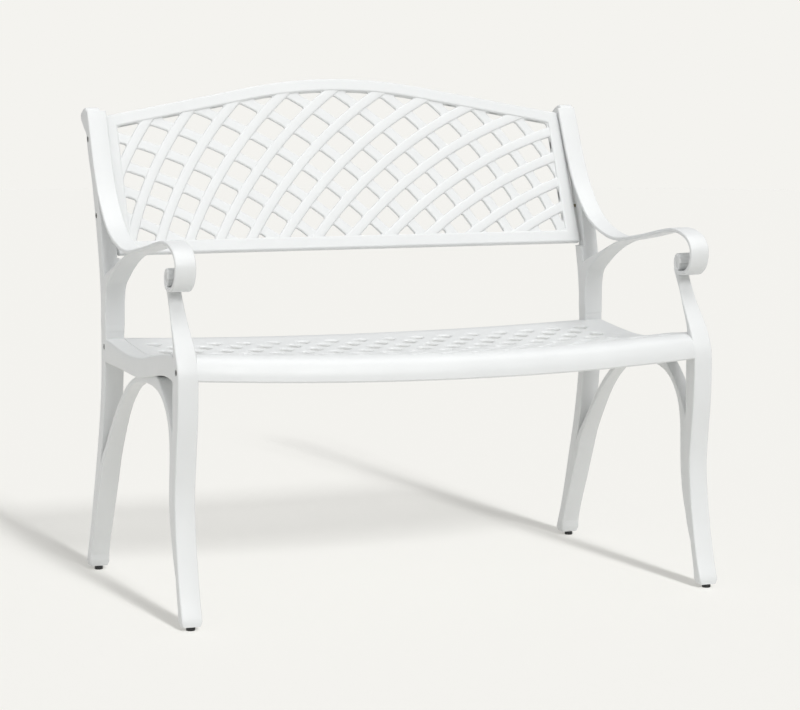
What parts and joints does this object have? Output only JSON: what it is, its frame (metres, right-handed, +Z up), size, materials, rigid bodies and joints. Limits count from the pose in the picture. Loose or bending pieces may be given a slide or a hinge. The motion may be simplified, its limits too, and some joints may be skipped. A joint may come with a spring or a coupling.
{
  "type": "garden bench",
  "caption": "White cast aluminium garden bench with scrolled arms, cabriole legs, an arched lattice back and a bowed lattice seat, on screw-in foot glides.",
  "frame": {"origin": "centre of the footprint, on the floor under the middle of the bench", "axes": "+Z up, +X along the width of the bench, -Y towards the front, the way a sitter faces"},
  "size_m": [1.0348, 0.6866, 0.9351],
  "materials": {
    "enamel": "satin white powder coat on cast aluminium",
    "zinc_yellow": "yellow zinc plated, dulled to olive",
    "socket_dark": "blackened steel of the seat bolts and of the bolt sockets",
    "zinc": "zinc plated",
    "glide_black": "moulded black plastic"
  },
  "bodies": {
    "bench": {"back_post_left": "enamel", "back_post_right": "enamel", "arm_strap_left": "enamel", "arm_strap_right": "enamel", "front_leg_left": "enamel", "front_leg_right": "enamel", "seat_rail_left": "enamel", "seat_rail_right": "enamel", "leg_brace_left": "enamel", "leg_brace_right": "enamel", "back_rim": "enamel", "back_lattice": "enamel", "seat_rim": "enamel", "seat_lattice": "enamel", "seat_apron": "enamel", "back_bolts": "zinc_yellow", "seat_bolts": "socket_dark", "glide_inserts": "zinc"},
    "glide_front_left": {"glide_pad_front_left": "glide_black", "glide_stud_front_left": "zinc"},
    "glide_front_right": {"glide_pad_front_right": "glide_black", "glide_stud_front_right": "zinc"},
    "glide_back_left": {"glide_pad_back_left": "glide_black", "glide_stud_back_left": "zinc"},
    "glide_back_right": {"glide_pad_back_right": "glide_black", "glide_stud_back_right": "zinc"}
  },
  "joints": [
    {"name": "glide_front_left_height", "type": "slide", "parent": "bench", "child": "glide_front_left", "axis": [0, 0, -1], "range_m": [0, 0.008]},
    {"name": "glide_front_right_height", "type": "slide", "parent": "bench", "child": "glide_front_right", "axis": [0, 0, -1], "range_m": [0, 0.008]},
    {"name": "glide_back_left_height", "type": "slide", "parent": "bench", "child": "glide_back_left", "axis": [0, 0, -1], "range_m": [0, 0.008]},
    {"name": "glide_back_right_height", "type": "slide", "parent": "bench", "child": "glide_back_right", "axis": [0, 0, -1], "range_m": [0, 0.008]}
  ]
}
